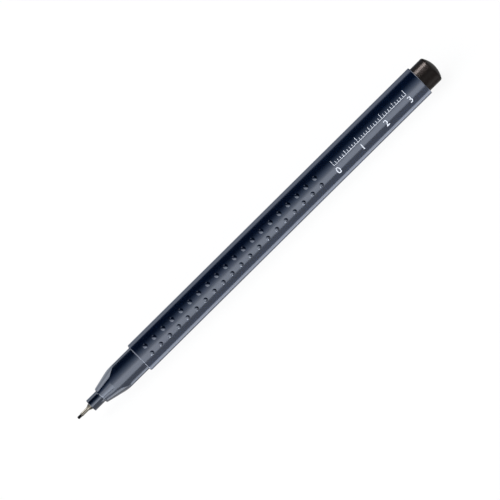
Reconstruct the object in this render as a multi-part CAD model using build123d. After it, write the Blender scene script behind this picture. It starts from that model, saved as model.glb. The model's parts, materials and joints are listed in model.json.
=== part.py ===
from build123d import *
from math import asin, atan2, cos, degrees, radians, sin, sqrt, tan
import os

# A triangular fineliner pen without its cap, lying on one face of its barrel.
# The axis of the pen runs along X, with the nib towards -X, and the origin is on the table under its middle.
# Lengths are in millimetres and angles in degrees.

# Lengths along the axis, from the point to the rear end
nib_exposed = 1.4
sleeve_exposed = 3.95
holder_exposed = 4.2
nose_length = 16.2
barrel_length = 117.95
plug_head_length = 6.3

# Barrel: a rounded triangle whose faces are crowned, with a round bore
barrel_width = 10.3
face_crown_radius = 8.6
edge_radius = 2.0
barrel_wall = 0.82
front_rim_bevel = 0.25
rear_rim_bevel = 0.18

# Ribs in the bore, which hold the reservoir and leave air channels beside it
rib_count = 6
rib_height = 0.2
rib_width = 0.8
rib_end_gap = 1.0

# Grip dots: two rows of low eight-sided domes on each face
dot_count = 20
dot_sides = 8
dot_diameter = 1.5
dot_top_diameter = 0.7
dot_height = 0.28
dot_root = 0.2
dot_pitch = 3.74
dot_start = 3.9
dot_row_spacing = 2.86

# Front section: the barrel's triangle moved in by the wall of a cap, cut by a cone in front
cap_wall = 0.8
nose_rim_width = 0.6
nose_rim_bevel = 0.2
nose_taper_angle = 13.5
section_spigot_length = 10.0
section_web = 1.5
nib_passage_diameter = 1.6

# Press fits between the mouldings
fit_clearance = 0.03
spigot_wall = 0.9
bead_length = 1.2
bead_height = 0.15
bead_setback = 3.0

# Nib holder
holder_diameter = 4.2
holder_rim_bevel = 0.15
shank_diameter = 3.7
shank_length = 8.0
vent_width = 0.5
vent_depth = 0.3

# Metal tip sleeve with its conical collar
sleeve_diameter = 1.15
sleeve_wall = 0.1
sleeve_shank_length = 6.5
collar_diameter = 2.3
collar_length = 1.35

# Fibre nib
nib_point_round = 0.3
nib_insertion = 8.0

# Reservoir film
film_thickness = 0.1

# End plug
plug_ledge = 0.2
plug_dome_height = 1.47
plug_rim_bevel = 0.25
plug_crown = 2.2
plug_spigot_length = 9.0
plug_prong_length = 3.5
plug_prong_count = 3
plug_slot_width = 3.0

# How far a cutting shape runs past what it cuts
overrun = 0.5

# The triangle's faces look along these angles about the axis, from +Y towards +Z
face_angles = (30.0, 150.0, 270.0)
half_corner_angle = 60.0
under_angle = 270.0

# Where the arcs of the rounded triangle have their centres, as distances from the axis
corner_reach = (barrel_width / 2 - edge_radius) / sin(radians(half_corner_angle))
corner_across = corner_reach * sin(radians(half_corner_angle))
corner_along = corner_reach * cos(radians(half_corner_angle))
crown_reach = sqrt((face_crown_radius - edge_radius) ** 2 - corner_across**2) - corner_along
face_distance = face_crown_radius - crown_reach

# How far the two rows of dots lean apart on a crowned face, and the height of the axis of a pen that lies on them
row_lean = degrees(asin(dot_row_spacing / 2 / face_crown_radius))
dot_rim_drop = dot_top_diameter / 2 * sin(radians(row_lean))
axis_height = (face_crown_radius + dot_height) * cos(radians(row_lean)) + dot_rim_drop - crown_reach

# Stations along the axis
total_length = nib_exposed + sleeve_exposed + holder_exposed + nose_length + barrel_length + plug_head_length
tip_x = -total_length / 2
sleeve_x = tip_x + nib_exposed
holder_x = sleeve_x + sleeve_exposed
nose_x = holder_x + holder_exposed
barrel_x = nose_x + nose_length
plug_x = barrel_x + barrel_length
end_x = plug_x + plug_head_length
section_end_x = barrel_x + section_spigot_length
plug_inner_x = plug_x - plug_spigot_length - plug_prong_length
reservoir_front_x = section_end_x + fit_clearance
reservoir_rear_x = plug_inner_x - fit_clearance

# Radii that follow from what fits into what
bore_radius = face_distance - barrel_wall
spigot_radius = bore_radius - fit_clearance
spigot_bore_radius = spigot_radius - spigot_wall
holder_radius = holder_diameter / 2
shank_radius = shank_diameter / 2
sleeve_radius = sleeve_diameter / 2
sleeve_bore_radius = sleeve_radius - sleeve_wall
nib_radius = sleeve_bore_radius - fit_clearance
film_radius = bore_radius - rib_height - fit_clearance
film_bore_radius = film_radius - film_thickness
reservoir_radius = film_bore_radius - fit_clearance
plug_radius = face_distance - plug_ledge


def polar(distance, angle):
    """A point of a section, at that distance from the axis and angle from +Y towards +Z."""
    return Vector(distance * cos(radians(angle)), distance * sin(radians(angle)))


def triangle_section(inset):
    """The barrel's rounded triangle, moved in by inset: three crowned faces joined by three corner arcs."""
    crown = face_crown_radius - inset
    corner = edge_radius - inset
    turn = degrees(atan2(corner_across, crown_reach + corner_along))
    arcs = []
    for face in face_angles:
        crown_centre = polar(-crown_reach, face)
        corner_centre = polar(corner_reach, face + half_corner_angle)
        face_start = crown_centre + polar(crown, face - turn)
        face_middle = crown_centre + polar(crown, face)
        face_end = crown_centre + polar(crown, face + turn)
        corner_middle = corner_centre + polar(corner, face + half_corner_angle)
        corner_end = corner_centre + polar(corner, face + 2 * half_corner_angle - turn)
        arcs.append(ThreePointArc(face_start, face_middle, face_end))
        arcs.append(ThreePointArc(face_end, corner_middle, corner_end))
    return make_face(arcs)


def prism(section, start, end):
    """A section drawn across the axis, extruded from one station to another."""
    return extrude(Plane.YZ.offset(start) * section, amount=end - start)


def rod(radius, start, end):
    """A round bar on the axis."""
    return prism(Circle(radius), start, end)


def turned(*points, rounds=0):
    """A solid turned about the axis from an outline of (station, radius) points, with rounds at its corners."""
    outline = FilletPolyline(*points, radius=rounds, close=True)
    return revolve(Plane.XZ * make_face(outline), Axis.X)


def snap_ring(station, radius):
    """A V ring that stands out of a round wall of that radius: a spigot's snap bead, or the cut for its groove."""
    base = radius - bead_height
    outline = Polyline((station - bead_length, base), (station, radius + bead_height), (station + bead_length, base))
    return revolve(Plane.XZ * make_face(outline + Line(outline @ 1, outline @ 0)), Axis.X)


def grip_dot():
    """One dot about the Z axis, with the face that carries it at Z zero and its root below."""
    spread = (dot_diameter - dot_top_diameter) / 2 / dot_height
    root_radius = dot_diameter / 2 + dot_root * spread
    root = Plane.XY.offset(-dot_root) * RegularPolygon(root_radius, dot_sides)
    top = Plane.XY.offset(dot_height) * RegularPolygon(dot_top_diameter / 2, dot_sides)
    return loft([root, top], ruled=True)


def grip_dots():
    """All the dots where they stand, two rows to a face, each square to the crowned face under it."""
    dot = grip_dot()
    dots = []
    for face in face_angles:
        for side in (-1, 1):
            lean = face + side * row_lean
            foot = polar(-crown_reach, face) + polar(face_crown_radius, lean)
            out = polar(1, lean)
            for index in range(dot_count):
                station = barrel_x + dot_start + index * dot_pitch
                seat = Plane((station, foot.X, foot.Y), x_dir=(1, 0, 0), z_dir=(0, out.X, out.Y))
                dots.append(seat * dot)
    return dots


def ribbed_bore():
    """The bore's section where the reservoir lies, with the ribs left standing."""
    rib_depth = rib_height + overrun
    ribs = PolarLocations(bore_radius - rib_height + rib_depth / 2, rib_count)
    return Circle(bore_radius) - [place * Rectangle(rib_depth, rib_width) for place in ribs]


def barrel():
    body = prism(triangle_section(0), barrel_x, plug_x)
    body = chamfer(body.edges().group_by(Axis.X)[0], front_rim_bevel)
    body = chamfer(body.edges().group_by(Axis.X)[-1], rear_rim_bevel)
    body = body + grip_dots()
    rib_start = section_end_x + rib_end_gap
    rib_end = plug_inner_x - rib_end_gap
    body = body - rod(bore_radius, barrel_x - overrun, rib_start)
    body = body - prism(ribbed_bore(), rib_start, rib_end)
    body = body - rod(bore_radius, rib_end, plug_x + overrun)
    body = body - snap_ring(barrel_x + bead_setback, bore_radius)
    return body - snap_ring(plug_x - bead_setback, bore_radius)


def front_section():
    rim_radius = holder_radius + nose_rim_width
    cone_radius = corner_reach + edge_radius - cap_wall + overrun
    nose_slope = tan(radians(nose_taper_angle))
    cone_end_x = nose_x + (cone_radius - rim_radius) / nose_slope
    cone = turned(
        (nose_x, 0),
        (nose_x, rim_radius - nose_rim_bevel),
        (nose_x + nose_rim_bevel, rim_radius + nose_rim_bevel * nose_slope),
        (cone_end_x, cone_radius),
        (barrel_x, cone_radius),
        (barrel_x, 0),
    )
    nose = prism(triangle_section(cap_wall), nose_x, barrel_x) & cone
    spigot = turned(
        (barrel_x - section_web, 0),
        (barrel_x - section_web, spigot_bore_radius),
        (barrel_x, spigot_radius),
        (section_end_x, spigot_radius),
        (section_end_x, 0),
    )
    body = nose + spigot + snap_ring(barrel_x + bead_setback, spigot_radius)
    shank_end_x = nose_x + shank_length
    chamber_x = shank_end_x + section_web
    body = body - rod(shank_radius + fit_clearance, nose_x - overrun, shank_end_x)
    body = body - rod(nib_passage_diameter / 2, shank_end_x - overrun, chamber_x + overrun)
    return body - rod(spigot_bore_radius, chamber_x, section_end_x + overrun)


def nib_holder():
    shank_end_x = nose_x + shank_length
    sleeve_end_x = holder_x + sleeve_shank_length
    body = turned(
        (holder_x, 0),
        (holder_x, holder_radius - holder_rim_bevel),
        (holder_x + holder_rim_bevel, holder_radius),
        (nose_x, holder_radius),
        (nose_x, shank_radius),
        (shank_end_x, shank_radius),
        (shank_end_x, 0),
    )
    body = body - rod(sleeve_radius + fit_clearance, holder_x - overrun, sleeve_end_x)
    body = body - rod(nib_radius + fit_clearance, holder_x, shank_end_x + overrun)
    vent_floor = shank_radius - vent_depth
    vent_top = holder_radius + overrun
    vent_middle = polar((vent_floor + vent_top) / 2, under_angle)
    vent = Pos(vent_middle) * Rot(0, 0, under_angle) * Rectangle(vent_top - vent_floor, vent_width)
    return body - prism(vent, nose_x - vent_depth, shank_end_x + overrun)


def tip_sleeve():
    sleeve_end_x = holder_x + sleeve_shank_length
    return turned(
        (sleeve_x, sleeve_bore_radius),
        (sleeve_x, sleeve_radius),
        (holder_x - collar_length, sleeve_radius),
        (holder_x, collar_diameter / 2),
        (holder_x, sleeve_radius),
        (sleeve_end_x, sleeve_radius),
        (sleeve_end_x, sleeve_bore_radius),
    )


def fibre_nib():
    nib_end_x = reservoir_front_x + nib_insertion
    return turned(
        (tip_x, 0),
        (tip_x, nib_radius),
        (nib_end_x, nib_radius),
        (nib_end_x, 0),
        rounds=[0, nib_point_round, 0, 0],
    )


def ink_reservoir():
    hole_end_x = reservoir_front_x + nib_insertion + fit_clearance
    body = rod(reservoir_radius, reservoir_front_x, reservoir_rear_x)
    return body - rod(nib_radius + fit_clearance, reservoir_front_x - overrun, hole_end_x)


def reservoir_film():
    sleeve = rod(film_radius, reservoir_front_x, reservoir_rear_x)
    return sleeve - rod(film_bore_radius, reservoir_front_x - overrun, reservoir_rear_x + overrun)


def end_plug():
    dome_x = end_x - plug_dome_height
    dome_radius = (plug_radius**2 + plug_dome_height**2) / (2 * plug_dome_height)
    dome_angle = degrees(asin(plug_radius / dome_radius))
    side = Polyline((end_x, 0), (plug_x, 0), (plug_x, plug_radius), (dome_x, plug_radius))
    profile = make_face(side + CenterArc((end_x - dome_radius, 0), dome_radius, 0, dome_angle))
    dome_rim = profile.vertices().group_by(Axis.Y)[-1].sort_by(Axis.X)[-1]
    head = revolve(Plane.XZ * chamfer(dome_rim, plug_rim_bevel), Axis.X)
    body = head + rod(spigot_radius, plug_inner_x, dome_x) + snap_ring(plug_x - bead_setback, spigot_radius)
    body = body - rod(spigot_bore_radius, plug_inner_x - overrun, end_x - plug_crown)
    slot = Pos(spigot_radius / 2, 0) * Rectangle(spigot_radius + overrun, plug_slot_width)
    slots = [place * slot for place in PolarLocations(0, plug_prong_count)]
    return body - [prism(cut, plug_inner_x - overrun, plug_inner_x + plug_prong_length) for cut in slots]


pieces = {
    "barrel": barrel(),
    "front_section": front_section(),
    "nib_holder": nib_holder(),
    "tip_sleeve": tip_sleeve(),
    "fibre_nib": fibre_nib(),
    "ink_reservoir": ink_reservoir(),
    "reservoir_film": reservoir_film(),
    "end_plug": end_plug(),
}

os.makedirs("parts", exist_ok=True)
for name, piece in pieces.items():
    export_step(Pos(0, 0, axis_height) * piece, f"parts/{name}.step")
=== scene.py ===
"""Looks of a triangular fineliner pen without its cap, laid out as an add-on.

Lengths are in metres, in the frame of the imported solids: the pen lies along X on the floor, its nib at -X.
A spun piece is drawn as half an outline, which is carried round the axis. A point of the outline has a
station along X and a distance from the axis.
"""

import json
import math
from functools import partial
from typing import NamedTuple

import bpy
from bpy.props import FloatProperty, FloatVectorProperty, IntProperty, PointerProperty
from mathutils import Matrix, Vector


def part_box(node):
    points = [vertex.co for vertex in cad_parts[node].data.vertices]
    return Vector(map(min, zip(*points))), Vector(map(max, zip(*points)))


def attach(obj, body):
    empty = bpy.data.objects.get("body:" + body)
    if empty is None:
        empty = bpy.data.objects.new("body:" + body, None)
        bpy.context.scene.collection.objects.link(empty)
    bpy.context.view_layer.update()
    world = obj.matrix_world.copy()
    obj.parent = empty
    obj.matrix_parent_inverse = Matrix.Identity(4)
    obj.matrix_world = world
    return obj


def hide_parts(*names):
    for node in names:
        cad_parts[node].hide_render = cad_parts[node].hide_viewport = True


bl_info = {
    "name": "Triangular Fineliner",
    "version": (1, 0, 0),
    "blender": (4, 5, 0),
    "location": "View3D > Sidebar > Fineliner",
    "description": "Dresses the packed solids of a triangular fineliner pen",
    "category": "Object",
}

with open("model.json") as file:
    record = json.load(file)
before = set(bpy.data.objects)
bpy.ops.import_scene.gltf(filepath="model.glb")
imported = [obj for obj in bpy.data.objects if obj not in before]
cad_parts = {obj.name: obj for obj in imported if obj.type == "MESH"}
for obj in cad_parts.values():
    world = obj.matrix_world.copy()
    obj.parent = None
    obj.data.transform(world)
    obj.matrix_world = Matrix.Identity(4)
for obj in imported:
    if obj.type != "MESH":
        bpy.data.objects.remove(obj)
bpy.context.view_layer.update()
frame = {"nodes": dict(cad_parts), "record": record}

# Stations along the pen's axis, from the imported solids
tip_x, nib_end_x = (corner.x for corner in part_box("fibre_nib"))
sleeve_x, sleeve_end_x = (corner.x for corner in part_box("tip_sleeve"))
holder_x, shank_end_x = (corner.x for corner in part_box("nib_holder"))
nose_x, section_end_x = (corner.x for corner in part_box("front_section"))
barrel_x, plug_x = (corner.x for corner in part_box("barrel"))
plug_inner_x, end_x = (corner.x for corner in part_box("end_plug"))

# The axis and the two round seats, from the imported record
millimetre = 0.001
seats = {mount["name"]: mount for mount in frame["record"]["mounts"]}
axis_z = seats["cap_post_seat"]["pos_m"][2]
holder_radius = seats["cap_seal_seat"]["dims"]["r_mm"] * millimetre
plug_radius = seats["cap_post_seat"]["dims"]["r_mm"] * millimetre
barrel_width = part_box("barrel")[1].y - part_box("barrel")[0].y

# The triangle's faces look along these angles about the axis, from +Y towards +Z. Its corners lie between
# them.
face_angles = (math.radians(30), math.radians(150), math.radians(270))
half_corner = math.radians(60)
shown_face_angle = face_angles[1]
right_angle = math.radians(90)
half_turn = math.radians(180)

# Steps of the meshes: along an arc of the triangle or a third of a circle, along a third of a dot's circle,
# over a round, and over the two domes
ring_steps = 32
dot_ring_steps = 5
round_steps = 6
dot_dome_steps = 5
plug_dome_steps = 12

# Points along the rule and along a tick, so that they bend with the crown
rule_points = 32
tick_points = 5

# Distance of the points along a numeral's outline
numeral_step = 0.0001

# Longest straight stretch of an outline without a point in it
longest_stretch = 0.003

# Farthest that a round's shading reaches into the straight stretch beside it
hold_distance = 0.0001

# Two points nearer than this are one point
weld_distance = 2e-7

# Edges that bend by more than this stay sharp
sharp_angle = math.radians(40)

# A numeral stands under every tenth tick. A tick grows by a share of its length at every fifth place, and by
# the same again at every tenth.
numerals = "0123"
numeral_ticks = 10
tall_ticks = (5, 10)
tick_growth = 0.5

# Sockets of a Mix node: its share, its two numbers, its two colours, and the colour that comes out
mix_share = 0
mix_low, mix_high = 2, 3
mix_first, mix_second, mix_result = 6, 7, 2


def linear(hex_colour):
    """The linear red, green, blue and alpha of an sRGB hex colour."""
    channels = [int(hex_colour[start : start + 2], 16) / 255 for start in (0, 2, 4)]
    return (*(c / 12.92 if c <= 0.04045 else ((c + 0.055) / 1.055) ** 2.4 for c in channels), 1.0)


def length(name, description, default):
    """A length that the user can change."""
    return FloatProperty(name=name, description=description, default=default, unit="LENGTH", precision=5)


def colour(name, description, hex_colour):
    """A colour that the user can change."""
    return FloatVectorProperty(
        name=name, description=description, default=linear(hex_colour), size=4, subtype="COLOR", min=0, max=1
    )


def angle(name, description, degrees):
    """An angle that the user can change."""
    return FloatProperty(name=name, description=description, default=math.radians(degrees), subtype="ANGLE")


def share(name, description, default):
    """A share between none and all that the user can change."""
    return FloatProperty(name=name, description=description, default=default, min=0, max=1, subtype="FACTOR")


def level(name, description, default):
    """A brightness that the user can change, where 1 is the white of the floor, or a factor on one."""
    return FloatProperty(name=name, description=description, default=default, min=0)


class FinelinerSizes(bpy.types.PropertyGroup):
    """Sizes of the mouldings, the tip and the print that the boxes of the solids don't give."""

    face_crown_radius: length("Face Crown", "Radius of the crown of a barrel face", 0.0086)
    edge_radius: length("Edge Radius", "Radius of the three long edges", 0.002)
    barrel_wall: length("Barrel Wall", "Wall between the bore and the middle of a face", 0.00082)
    front_rim: length("Front Rim", "Round on the barrel's front rim", 0.0004)
    rear_rim: length("Rear Rim", "Round on the barrel's rear rim", 0.00025)

    dot_count: IntProperty(name="Dots in a Row", description="Grip dots in each of the six rows", default=20)
    dot_diameter: length("Dot Diameter", "Diameter of a grip dot at its foot", 0.0015)
    dot_height: length("Dot Height", "Height of a grip dot above its face", 0.00018)
    dot_root: length("Dot Root", "Depth of a grip dot's root under its face", 0.0001)
    dot_pitch: length("Dot Pitch", "Distance of one grip dot from the next in its row", 0.00374)
    dot_start: length("Dot Start", "Distance of the first grip dot from the barrel's front rim", 0.0039)
    dot_row_spacing: length("Row Spacing", "Distance between the two rows of a face", 0.00292)

    cap_wall: length("Cap Wall", "Step from the barrel's faces in to the nose", 0.0008)
    nose_taper: angle("Nose Taper", "Slope of the cone that cuts the nose", 13.5)
    nose_rim_width: length("Nose Rim", "Width of the ring around the nib holder", 0.0006)
    nose_rim: length("Nose Rim Round", "Round on the nose's front rim", 0.0004)
    nose_crease: length("Nose Crease", "Radius of the round where the cone meets the faces", 0.002)
    section_web: length("Section Web", "Wall behind the nib holder's socket", 0.0015)
    nib_passage: length("Nib Passage", "Diameter of the hole through that wall", 0.0016)

    clearance: length("Clearance", "Clearance of the press fits", 0.00003)
    spigot_wall: length("Spigot Wall", "Wall of the two hollow spigots in the bore", 0.0009)

    holder_rim: length("Holder Rim", "Round on the nib holder's front edge", 0.0002)
    shank_diameter: length("Shank", "Diameter of the nib holder's shank", 0.0037)

    sleeve_diameter: length("Tip Sleeve", "Outside diameter of the metal tube", 0.00115)
    sleeve_wall: length("Sleeve Wall", "Wall of the metal tube", 0.0001)
    collar_diameter: length("Collar", "Diameter of the tube's collar at the holder", 0.0023)
    collar_length: length("Collar Length", "Length of the collar's flare", 0.00135)
    nib_point: length("Nib Point", "Round on the fibre's point", 0.0003)

    plug_dome: length("Plug Dome", "Height of the end plug's dome", 0.0014)
    plug_rim: length("Plug Rim", "Round between the dome and the plug's side", 0.0007)
    plug_crown: length("Plug Crown", "Thickness of the plug's closed end", 0.0022)

    scale_start: length("Scale Start", "Distance of the printed scale from the barrel's rear end", 0.0362)
    scale_step: length("Scale Step", "Distance from one tick to the next", 0.001)
    scale_ticks: IntProperty(name="Ticks", description="Ticks on the printed scale", default=31)
    tick_length: length("Tick Length", "Length of a plain tick", 0.0009)
    tick_width: length("Tick Width", "Width of a tick", 0.00015)
    rule_width: length("Rule Width", "Width of the line that the ticks stand on", 0.00013)
    numeral_size: length("Numeral Size", "Size of the numerals under the rule", 0.003)
    numeral_gap: length("Numeral Gap", "Distance of the numerals from the rule", 0.0005)
    print_thickness: length("Print Thickness", "Thickness of the printed ink", 0.00002)


class FinelinerColours(bpy.types.PropertyGroup):
    """Colours of the finishes and of the light."""

    navy: colour("Navy", "Moulded navy plastic of the barrel, nose and nib holder", "010614")
    navy_handled: colour("Navy Handled", "Navy plastic along its handled edges", "040B1D")
    navy_sheen: colour("Navy Sheen", "Tint of the navy plastic's reflections", "E2ECFF")
    plug_black: colour("Plug Black", "Moulded black plastic of the end plug", "0C0A09")
    plug_handled: colour("Plug Handled", "Black plastic where a cap slides on it", "110E0D")
    metal: colour("Tip Metal", "Drawn metal of the tip tube", "66625B")
    # Painted shade: the tip metal is darker where its collar meets the nib holder
    metal_shaded_at_holder: colour("Shaded Metal", "That metal where it has dulled beside the nib holder", "403D37")
    ink: colour("Ink", "Ink in the fibre", "050506")
    fibre: colour("Fibre", "Fibres of the point and the reservoir", "101113")
    film: colour("Film", "Film around the reservoir", "D8DCDE")
    print_white: colour("Print", "White printing ink", "C4C9D1")
    print_thin: colour("Thin Print", "White printing ink where it lies thin", "9CA2AD")
    plug_lamp: colour("Plug Lamp", "Light of the lamps over the end plug", "FFEFEA")
    dim_light: colour("Dim Light", "Tint of the studio's light where it is dim", "BCDAFF")
    full_light: colour("Full Light", "Tint of the studio's light where it is full", "FFFFFF")
    flag: colour("Flag", "Black card over the nib holder", "020202")
    floor: colour("Floor", "White floor", "F4F4F4")


class FinelinerStage(bpy.types.PropertyGroup):
    """The camera, the floor and the light."""

    view_elevation: angle("Elevation", "Height of the camera above the horizon", 32.4)
    view_roll: angle("Roll", "Angle of the pen's axis in the picture", 44.698)
    view_width: length("View Width", "Width of the picture at the pen", 0.1495)
    lens: FloatProperty(name="Lens", description="Focal length", default=300, unit="CAMERA")
    aim_along: length("Aim Along", "Distance of the picture's middle from the pen's, along X", -0.00304)
    aim_down: length("Aim Down", "Distance of the picture's middle below the axis, unrolled", 0.00036)
    floor_size: length("Floor Size", "Length of the floor's side", 8.0)
    shadow_share: share("Shadow", "Share of the floor's light that the pen can shade", 0.09)

    front_glow: level("Front Glow", "Radiance of the softbox at its soft upper side", 2.5)
    front_light: level("Front Light", "Radiance that the softbox's core adds", 1.4)
    low_light: level("Low Light", "Radiance that the softbox's lowest part adds", 2.0)
    nib_end_glow: level("Nib End Glow", "Share of the softbox's upper side left at the nib's end", 0.6)
    plug_end_glow: level("Plug End Glow", "Share of the softbox's light left at the plug's end", 0.25)
    top_light: level("Top Light", "Radiance of the panel overhead and behind", 2.2)
    nib_end_light: level("Nib End Light", "Factor by which that panel is brighter at the nib's end", 1.9)

    strip_light: level("Strip Light", "Radiance of the strip along the foot of the barrel", 4.2)
    strip_width: length("Strip Width", "Width of the strip beside the barrel", 0.005)
    strip_gap: length("Strip Gap", "Distance of the strips from the floor and from the pen's edge", 0.0004)
    nose_strip_light: level("Nose Strip Light", "Radiance of the strip along the foot of the nose", 2.6)
    nose_strip_width: length("Nose Strip Width", "Width of the strip beside the nose", 0.003)
    nose_strip_lead: length("Nose Strip Lead", "Length by which that strip reaches past the nose", 0.001)
    nose_light: level("Nose Light", "Radiance of the card that lights the front section alone", 2.8)
    card_width: length("Card Width", "Width of that card on the floor, out from the strips", 0.05)
    card_length: length("Card Length", "Length of that card", 0.03)

    dot_light: level("Dot Light", "Radiance of the far card that lights the grip dots", 95.0)
    cone_light: level("Cone Light", "Radiance of the far card that lights the cone", 1.3)
    rim_light: level("Rim Light", "Radiance of the far card that lights the front rims from below", 105.0)
    far_distance: length("Far Distance", "Distance of the far cards from the grip", 0.6)
    far_side: length("Far Side", "Width and height of the far cards", 0.34)

    upright_gap: length("Upright Gap", "Distance of the upright cards from the pen's ends", 0.05)
    rear_card_light: level("Rear Card Light", "Radiance of the upright card past the rear end", 4.0)
    rear_card_side: length("Rear Card Side", "Width and height of that card", 0.1)
    nib_card_light: level("Nib Card Light", "Radiance of the upright card past the nib", 5.0)
    nib_card_width: length("Nib Card Width", "Width of that card", 0.12)
    nib_card_height: length("Nib Card Height", "Height of that card", 0.022)
    nib_card_back: length("Nib Card Back", "Distance by which that card reaches behind the axis", 0.02)

    lamp_height: length("Lamp Height", "Distance of the lamps over the plug and the tube from the axis", 0.1)
    plug_light: level("Plug Light", "Radiance of the small lamp over the end plug", 620.0)
    plug_lamp_angle: angle("Plug Lamp Angle", "Lean of that lamp behind the vertical", 8.5)
    plug_lamp_length: length("Plug Lamp Length", "Length of the plug's lamps along the pen", 0.005)
    plug_lamp_width: length("Plug Lamp Width", "Width of the small lamp across the pen", 0.04)
    plug_fill: level("Plug Fill", "Radiance of the dim lamp in front of that one", 75.0)
    plug_fill_angle: angle("Plug Fill Angle", "Lean of the dim lamp behind the vertical", -15.0)
    plug_fill_width: length("Plug Fill Width", "Width of the dim lamp across the pen", 0.08)
    tube_light: level("Tube Light", "Radiance of the lamp over the tip tube", 11.0)
    tube_lamp_angle: angle("Tube Lamp Angle", "Lean of that lamp behind the vertical", 22.0)
    tube_lamp_width: length("Tube Lamp Width", "Width of that lamp across the pen", 0.05)
    tube_lamp_length: length("Tube Lamp Length", "Length of that lamp along the pen", 0.04)

    flag_height: length("Flag Height", "Height of the black card over the nib holder, from the axis", 0.0034)
    flag_lead: length("Flag Lead", "Length by which that card is set forward of the nib holder", 0.0004)
    flag_front: length("Flag Front", "Distance of that card's front side from the axis", 0.0023)
    flag_width: length("Flag Width", "Width of that card across the pen", 0.0021)


def add(tree, kind, inputs=None, **settings):
    """Add a node with its settings and its inputs."""
    node = tree.nodes.new(kind)
    for name, value in settings.items():
        setattr(node, name, value)
    feed(node, inputs or {})
    return node


def feed(node, inputs):
    """Fill a node's inputs. Each takes a value, or a link from a node, a socket or a list of nodes."""
    for key, value in inputs.items():
        for source in value if isinstance(value, list) else [value]:
            if isinstance(source, bpy.types.Node):
                source = source.outputs[0]
            if isinstance(source, bpy.types.NodeSocket):
                node.id_data.links.new(source, node.inputs[key])
            else:
                node.inputs[key].default_value = source


def new_geometry_tree(name, inputs):
    """A Geometry Nodes tree with an Outline and the named inputs.

    Returns the tree, the function that adds a node to it, and its inputs' sockets.
    """
    tree = bpy.data.node_groups.new(name, "GeometryNodeTree")
    node = partial(add, tree)
    tree.interface.new_socket("Geometry", in_out="OUTPUT", socket_type="NodeSocketGeometry")
    for label, kind in {"Outline": "Geometry", **inputs}.items():
        tree.interface.new_socket(label, in_out="INPUT", socket_type="NodeSocket" + kind)
    return tree, node, node("NodeGroupInput").outputs


triangle_inputs = {
    "Triangular": "Bool",
    "Segments": "Int",
    "Crown Radius": "Float",
    "Crown Reach": "Float",
    "Corner Radius": "Float",
    "Corner Reach": "Float",
    "Face Turn": "Float",
    "Drawn Radius": "Float",
}
placed_inputs = {"Axis Height": "Float", "Material": "Material"}


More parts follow.
